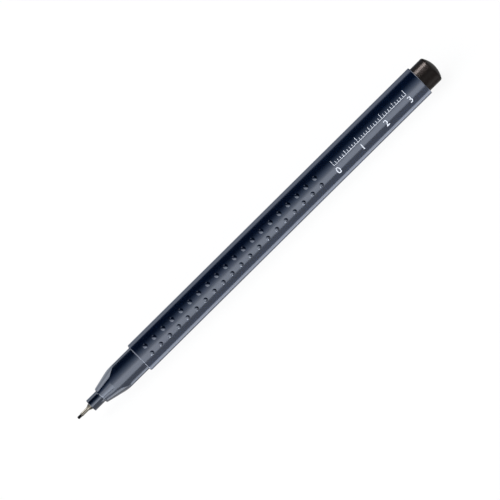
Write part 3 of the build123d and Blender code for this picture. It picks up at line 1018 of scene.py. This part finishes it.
class FINELINER_OT_end_plug(bpy.types.Operator):
    """Build the round end plug with its low dome"""

    bl_idname = "fineliner.end_plug"
    bl_label = "End Plug"

    def execute(self, context):
        sizes = context.scene.fineliner_sizes
        spigot = bore_radius(sizes) - sizes.clearance
        inside = spigot - sizes.spigot_wall
        floor_x = end_x - sizes.plug_crown
        rim, *dome = cap_corners(end_x - sizes.plug_dome, plug_radius, sizes.plug_dome, plug_dome_steps)
        corners = [
            Corner(floor_x, 0),
            Corner(floor_x, inside),
            Corner(plug_inner_x, inside),
            Corner(plug_inner_x, spigot),
            Corner(plug_x, spigot),
            Corner(plug_x, plug_radius),
            rim._replace(round=sizes.plug_rim),
            *dome,
        ]
        black = black_polypropylene(context.scene.fineliner_colours)
        plug = spin("end_plug_moulding", corners, black, closed=False)
        put_on(plug, "black_plastic", "end_plug")
        return {"FINISHED"}


class FINELINER_OT_printed_scale(bpy.types.Operator):
    """Print a plain scale on the face that looks at the camera"""

    bl_idname = "fineliner.printed_scale"
    bl_label = "Printed Scale"

    def execute(self, context):
        sizes = context.scene.fineliner_sizes
        triangle = Triangle(sizes)
        inputs = {
            "First Station": plug_x - sizes.scale_start,
            "Step": sizes.scale_step,
            "Ticks": sizes.scale_ticks,
            "Tick Length": sizes.tick_length,
            "Tick Width": sizes.tick_width,
            "Rule Width": sizes.rule_width,
            "Numeral Size": sizes.numeral_size,
            "Numeral Gap": sizes.numeral_gap,
            "Thickness": sizes.print_thickness,
            "Crown Radius": triangle.crown_radius,
            "Crown Reach": triangle.crown_reach,
            "Axis Height": axis_z,
            "Material": pad_print(context.scene.fineliner_colours),
        }
        mesh = bpy.data.meshes.new("printed_scale")
        scale = grown("printed_scale", mesh, printed_scale_tree(), inputs)
        put_on(scale, "navy_plastic")
        return {"FINISHED"}


class FINELINER_OT_stage(bpy.types.Operator):
    """Set up the white floor, the studio light and the camera"""

    bl_idname = "fineliner.stage"
    bl_label = "Stage"

    def execute(self, context):
        scene = context.scene
        stage = scene.fineliner_stage
        scene.view_settings.view_transform = "Standard"
        white_floor(stage, scene.fineliner_colours)
        scene.world = studio_world(stage, scene.fineliner_colours)
        holder_flag(stage, scene.fineliner_colours)
        foot_strips(stage, scene.fineliner_sizes)
        far_cards(stage, scene.fineliner_sizes)
        end_cards(stage)
        piece_lamps(stage, scene.fineliner_colours)
        scene.camera = picture_camera(stage)
        return {"FINISHED"}


def stage_sheet(name, span_x, span_y, height, material):
    """A level sheet of the stage."""
    mesh = bpy.data.meshes.new(name)
    around = ((0, 0), (1, 0), (1, 1), (0, 1))
    mesh.from_pydata([(span_x[i], span_y[j], height) for i, j in around], [], [(0, 1, 2, 3)])
    mesh.materials.append(material)
    sheet = bpy.data.objects.new(name, mesh)
    bpy.context.scene.collection.objects.link(sheet)
    return sheet


def white_floor(stage, colours):
    """A plain white floor. Views and reflections see it white, but for a share that the pen can shade."""
    half = stage.floor_size / 2
    material, node, shader = new_material("white_floor")
    nodes = material.node_tree.nodes
    nodes.remove(shader)
    path = node("ShaderNodeLightPath").outputs
    seen = path["Is Camera Ray"]
    for ray in ("Is Glossy Ray", "Is Transmission Ray"):
        seen = node("ShaderNodeMath", {0: seen, 1: path[ray]}, operation="MAXIMUM")
    glowing = node("ShaderNodeMath", {0: seen, 1: 1 - stage.shadow_share}, operation="MULTIPLY")
    plain = node("ShaderNodeBsdfDiffuse", {"Color": colours.floor})
    white = node("ShaderNodeEmission", {"Strength": 1.0})
    mixed = node("ShaderNodeMixShader", {0: glowing, 1: plain, 2: white})
    feed(nodes["Material Output"], {"Surface": mixed})
    stage_sheet("floor", (-half, half), (-half, half), 0.0, material)


def holder_flag(stage, colours):
    """A matt black card over the nib holder, seen in reflections alone: it gives the holder its dark band."""
    material, _, shader = new_material("matt_black_card")
    feed(shader, {"Base Color": colours.flag, "Roughness": 1.0, "Specular IOR Level": 0.0})
    span_x = (holder_x - stage.flag_lead, nose_x - stage.flag_lead)
    span_y = (-stage.flag_front, stage.flag_width - stage.flag_front)
    flag = stage_sheet("flag", span_x, span_y, axis_z + stage.flag_height, material)
    flag.visible_camera = False
    flag.visible_diffuse = False
    flag.visible_shadow = False


def studio_world(stage, colours):
    """Soft studio light: a long softbox low at the left front, turned across the pen, and a panel overhead.

    A panel is a range of directions. Dip is the angle of a direction about the softbox's long axis, from
    the line of sight down towards the softbox. Below nought it climbs over the top of the pen. Ray X is the
    share of a direction that goes along the pen.
    """
    world = bpy.data.worlds.new("studio")
    world.use_nodes = True
    node = partial(add, world.node_tree)
    ray = node("ShaderNodeTexCoord").outputs["Generated"]
    rise, turn = stage.view_elevation, stage.view_roll
    down = (-math.sin(turn), -math.cos(turn) * math.sin(rise), -math.cos(turn) * math.cos(rise))
    down = node("ShaderNodeVectorMath", {0: ray, 1: down}, operation="DOT_PRODUCT").outputs["Value"]
    sight = (0, -math.cos(rise), math.sin(rise))
    sight = node("ShaderNodeVectorMath", {0: ray, 1: sight}, operation="DOT_PRODUCT").outputs["Value"]
    dip = node("ShaderNodeMath", {0: down, 1: sight}, operation="ARCTAN2")
    dip = node("ShaderNodeMath", {0: dip}, operation="DEGREES")
    ray_x = node("ShaderNodeSeparateXYZ", {0: ray}).outputs["X"]

    # The softbox has a soft glow at its upper side, a bright core, and its brightest part low down. The
    # panel starts past a dark gap, dims towards the back, is brighter at the nib's end, and ends before the
    # plug's.
    # Each ramp: what it reads, where it starts and ends, and its values there
    ramps = {
        "glow": (dip, -20.5, 5.4, 0.0, 1.0),
        "glow at nib": (ray_x, -0.2, -0.5, 1.0, stage.nib_end_glow),
        "core": (dip, 3.5, 8.5, 0.0, stage.front_light),
        "low part": (dip, 22.0, 45.0, 0.0, stage.low_light),
        "box below": (dip, 130.0, 90.0, 0.0, 1.0),
        "box at plug": (ray_x, 0.1, 0.45, 1.0, stage.plug_end_glow),
        "panel": (dip, -39.7, -47.0, 0.0, stage.top_light),
        "panel behind": (dip, -88.0, -133.0, 1.0, 0.5),
        "panel at nib": (ray_x, 0.0, -0.35, 1.0, stage.nib_end_light),
        "panel at plug": (ray_x, 0.2, 0.04, 0.0, 1.0),
    }
    glow_bend = 1.45
    levels = {}
    for name, (value, start, end, first, last) in ramps.items():
        ramp = {"Value": value, "From Min": start, "From Max": end, "To Min": first, "To Max": last}
        smooth = "LINEAR" if name == "glow" else "SMOOTHSTEP"
        levels[name] = node("ShaderNodeMapRange", ramp, interpolation_type=smooth)
    box = node("ShaderNodeMath", {0: levels["glow"], 1: glow_bend}, operation="POWER")
    box = node("ShaderNodeMath", {0: box, 1: stage.front_glow}, operation="MULTIPLY")
    box = node("ShaderNodeMath", {0: box, 1: levels["glow at nib"]}, operation="MULTIPLY")
    for name in ("core", "low part"):
        box = node("ShaderNodeMath", {0: box, 1: levels[name]})
    for name in ("box below", "box at plug"):
        box = node("ShaderNodeMath", {0: box, 1: levels[name]}, operation="MULTIPLY")
    panel = levels["panel"]
    for name in ("panel behind", "panel at nib", "panel at plug"):
        panel = node("ShaderNodeMath", {0: panel, 1: levels[name]}, operation="MULTIPLY")
    light = node("ShaderNodeMath", {0: box, 1: panel})

    # The camera sees plain white, and dim light is bluish
    seen = node("ShaderNodeLightPath").outputs["Is Camera Ray"]
    strength = node("ShaderNodeMix", {mix_share: seen, mix_low: light, mix_high: 1.0}, data_type="FLOAT")
    full = node("ShaderNodeMath", {0: light, 1: stage.front_glow}, operation="DIVIDE", use_clamp=True)
    full = node("ShaderNodeMath", {0: full, 1: seen}, operation="MAXIMUM")
    tint = {mix_share: full, mix_first: colours.dim_light, mix_second: colours.full_light}
    tint = node("ShaderNodeMix", tint, data_type="RGBA").outputs[mix_result]
    feed(world.node_tree.nodes["Background"], {"Color": tint, "Strength": strength})
    return world


def area_lamp(name, radiance, size, place, *lit_alone):
    """A rectangular lamp of a given radiance, unseen by the camera. It may light some pieces alone."""
    data = bpy.data.lights.new(name, "AREA")
    data.shape = "RECTANGLE"
    data.size, data.size_y = size
    data.energy = radiance * math.pi * size[0] * size[1]
    lamp = bpy.data.objects.new(name, data)
    lamp.matrix_world = place
    lamp.visible_camera = False
    bpy.context.scene.collection.objects.link(lamp)
    if lit_alone:
        # Only these pieces stop its light, so the floor isn't in its way
        lit = bpy.data.collections.new("lit_by_" + name)
        for piece in lit_alone:
            lit.objects.link(bpy.data.objects[piece])
        lamp.light_linking.receiver_collection = lit
        lamp.light_linking.blocker_collection = lit
    return lamp


def foot_strips(stage, sizes):
    """Lamps on the floor in front: strips along the feet of barrel and nose, and a card for the cone."""
    face_up = Matrix.Rotation(half_turn, 4, "X")
    gap = stage.strip_gap
    cone_end_x = cone_end(sizes)
    barrel_y = -barrel_width / 2 - gap
    size = (end_x - cone_end_x, stage.strip_width)
    place = Matrix.Translation(((cone_end_x + end_x) / 2, barrel_y - stage.strip_width / 2, gap))
    area_lamp("barrel_strip", stage.strip_light, size, place @ face_up)

    nose_y = -holder_radius - sizes.nose_rim_width - gap - stage.nose_strip_width / 2
    strip_x = nose_x - stage.nose_strip_lead
    size = ((cone_end_x - strip_x) / math.cos(sizes.nose_taper), stage.nose_strip_width)
    place = Matrix.Translation((strip_x, nose_y, gap)) @ Matrix.Rotation(-sizes.nose_taper, 4, "Z")
    place = place @ Matrix.Translation((size[0] / 2, 0, 0))
    area_lamp("nose_strip", stage.nose_strip_light, size, place @ face_up)

    card_y = barrel_y - stage.strip_width - stage.card_width / 2
    size = (stage.card_length, stage.card_width)
    place = Matrix.Translation((nose_x - stage.card_length / 2, card_y, gap)) @ face_up
    area_lamp("nose_card", stage.nose_light, size, place, "front_section_moulding")


def far_cards(stage, sizes):
    """Cards far off at the left front, seen only in reflections.

    They show in the lower left flanks of the dots, in the cone and in the front rims.
    """
    # Each card: its radiance, its direction from the grip, and the pieces that it lights
    cards = {
        "dot_card": (stage.dot_light, (-0.48, -0.8, -0.36), "grip_dots"),
        "cone_card": (stage.cone_light, (-0.45, -0.86, 0.2), "front_section_moulding"),
        "rim_card": (stage.rim_light, (-0.87, -0.36, -0.33), "barrel_shell", "front_section_moulding"),
    }
    size = (stage.far_side, stage.far_side)
    grip_x = barrel_x + sizes.dot_start + sizes.dot_count * sizes.dot_pitch / 2
    grip = Vector((grip_x, 0, axis_z))
    for name, (radiance, direction, *pieces) in cards.items():
        away = Vector(direction).normalized()
        turned = away.to_track_quat("Z", "Y").to_matrix().to_4x4()
        place = Matrix.Translation(grip + away * stage.far_distance) @ turned
        card = area_lamp(name, radiance, size, place, *pieces)
        card.visible_diffuse = False


def end_cards(stage):
    """Upright cards past the pen's two ends, which light the rims that look that way and the plug's dome."""
    upright = Matrix.Rotation(right_angle, 4, "Y")
    gap = stage.strip_gap
    side = stage.rear_card_side
    place = Matrix.Translation((end_x + stage.upright_gap, -side / 4, side / 2 + gap)) @ upright
    area_lamp("rear_card", stage.rear_card_light, (side, side), place, "barrel_shell", "end_plug_moulding")

    size = (stage.nib_card_height, stage.nib_card_width)
    middle_y = stage.nib_card_back - stage.nib_card_width / 2
    place = Matrix.Translation((tip_x - stage.upright_gap, middle_y, size[0] / 2 + gap))
    pieces = ("barrel_shell", "front_section_moulding", "tip_tube")
    area_lamp("nib_card", stage.nib_card_light, size, place @ upright.inverted(), *pieces)


def piece_lamps(stage, colours):
    """Lamps over the pen: two for the end plug and one for the tube.

    The plug's two show only in its reflections, as its highlight and as the dim light below that.
    """
    plug_station = end_x + stage.plug_lamp_length / 2
    plug_lamps = {
        "plug_lamp": (stage.plug_light, stage.plug_lamp_angle, stage.plug_lamp_width),
        "plug_fill": (stage.plug_fill, stage.plug_fill_angle, stage.plug_fill_width),
    }
    for name, (radiance, behind, width) in plug_lamps.items():
        place = lamp_place(stage, plug_station, behind)
        lamp = area_lamp(name, radiance, (stage.plug_lamp_length, width), place, "end_plug_moulding")
        lamp.data.color = colours.plug_lamp[:3]
        lamp.visible_diffuse = False
    place = lamp_place(stage, (sleeve_x + holder_x) / 2, stage.tube_lamp_angle)
    size = (stage.tube_lamp_length, stage.tube_lamp_width)
    area_lamp("tube_lamp", stage.tube_light, size, place, "tip_tube")


def lamp_place(stage, station, behind):
    """The place of a lamp over the pen, which leans behind the vertical and looks at the axis."""
    lean = Matrix.Rotation(-behind, 4, "X")
    return Matrix.Translation((station, 0, axis_z)) @ lean @ Matrix.Translation((0, 0, stage.lamp_height))


def picture_camera(stage):
    """The camera at the picture's angle, rolled so that the pen rises to the right."""
    data = bpy.data.cameras.new("picture_camera")
    data.lens = stage.lens
    data.sensor_width = 36.0
    distance = stage.view_width * data.lens / data.sensor_width
    rise = stage.view_elevation
    back = Vector((0, -math.cos(rise), math.sin(rise)))
    down = Vector((0, -math.sin(rise), -math.cos(rise)))
    aim = Vector((stage.aim_along, 0, axis_z)) + down * stage.aim_down
    turned = (-back).to_track_quat("-Z", "Y").to_matrix().to_4x4()
    rolled = turned @ Matrix.Rotation(-stage.view_roll, 4, "Z")
    camera = bpy.data.objects.new("picture_camera", data)
    camera.matrix_world = Matrix.Translation(aim + back * distance) @ rolled
    bpy.context.scene.collection.objects.link(camera)
    return camera


class FINELINER_PT_panel(bpy.types.Panel):
    """Lists the steps that dress the pen, and their settings"""

    bl_label = "Fineliner"
    bl_idname = "FINELINER_PT_panel"
    bl_space_type = "VIEW_3D"
    bl_region_type = "UI"
    bl_category = "Fineliner"

    def draw(self, context):
        for step in steps:
            self.layout.operator(step.bl_idname)
        for name, group in groups.items():
            box = self.layout.box()
            for setting in group.__annotations__:
                box.prop(getattr(context.scene, name), setting)


steps = (
    FINELINER_OT_barrel,
    FINELINER_OT_grip_dots,
    FINELINER_OT_front_section,
    FINELINER_OT_nib_holder,
    FINELINER_OT_tip,
    FINELINER_OT_ink_parts,
    FINELINER_OT_end_plug,
    FINELINER_OT_printed_scale,
    FINELINER_OT_stage,
)
groups = {
    "fineliner_sizes": FinelinerSizes,
    "fineliner_colours": FinelinerColours,
    "fineliner_stage": FinelinerStage,
}


def register():
    """Make the classes and the settings known."""
    for kind in (*groups.values(), *steps, FINELINER_PT_panel):
        bpy.utils.register_class(kind)
    for name, group in groups.items():
        setattr(bpy.types.Scene, name, PointerProperty(type=group))


def unregister():
    """Take the settings and the classes away again."""
    for name in groups:
        delattr(bpy.types.Scene, name)
    for kind in (FINELINER_PT_panel, *reversed(steps), *groups.values()):
        bpy.utils.unregister_class(kind)


def main():
    """Build each piece and the stage."""
    register()
    bpy.ops.fineliner.barrel()
    bpy.ops.fineliner.grip_dots()
    bpy.ops.fineliner.front_section()
    bpy.ops.fineliner.nib_holder()
    bpy.ops.fineliner.tip()
    bpy.ops.fineliner.ink_parts()
    bpy.ops.fineliner.end_plug()
    bpy.ops.fineliner.printed_scale()
    bpy.ops.fineliner.stage()


if __name__ == "__main__":
    main()
